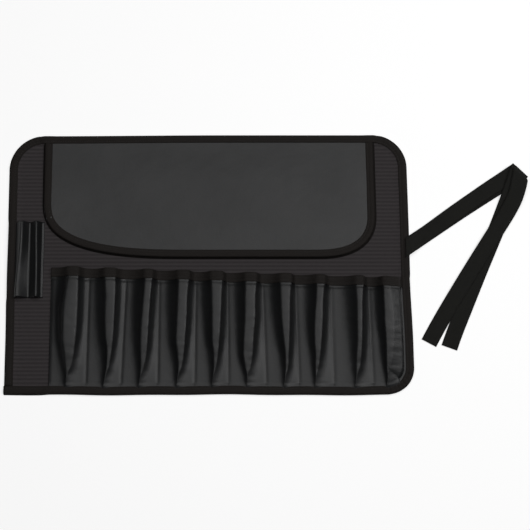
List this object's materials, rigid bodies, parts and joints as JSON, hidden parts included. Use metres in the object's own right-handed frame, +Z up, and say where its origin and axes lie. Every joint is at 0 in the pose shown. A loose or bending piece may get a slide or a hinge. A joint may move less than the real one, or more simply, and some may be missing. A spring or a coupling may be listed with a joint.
{
  "type": "tool roll",
  "caption": "Unrolled fabric tool roll lying flat, with a bound edge, a cover flap, pleated open pockets, pen loops and two folded tie straps.",
  "frame": {"origin": "middle of the base panel's underside, on the surface that the roll lies on", "axes": "+X along the roll towards the tie straps, +Y from the pockets towards the flap's hinge, +Z up off the surface"},
  "size_m": [0.6812, 0.343, 0.0199],
  "materials": {
    "ribbed_cloth": "ribbed woven polyester, matt",
    "flap_vinyl": "plain vinyl leathercloth, semi-matt",
    "pocket_vinyl": "plain vinyl leathercloth, semi-matt",
    "loop_vinyl": "plain vinyl leathercloth, semi-matt",
    "edge_tape": "woven binding tape, sewn",
    "flap_tape": "woven binding tape, sewn",
    "mouth_tape": "woven binding tape, sewn in two rows",
    "strap_a_webbing": "woven tie webbing",
    "strap_b_webbing": "woven tie webbing"
  },
  "bodies": {
    "root": {"base_panel": "ribbed_cloth", "edge_binding": "edge_tape", "flap": "flap_vinyl", "flap_binding": "flap_tape", "pocket_panel": "pocket_vinyl", "pocket_mouth_tape": "mouth_tape", "pen_loop_strip": "loop_vinyl", "tie_strap_a": "strap_a_webbing", "tie_strap_b": "strap_b_webbing"}
  },
  "joints": []
}
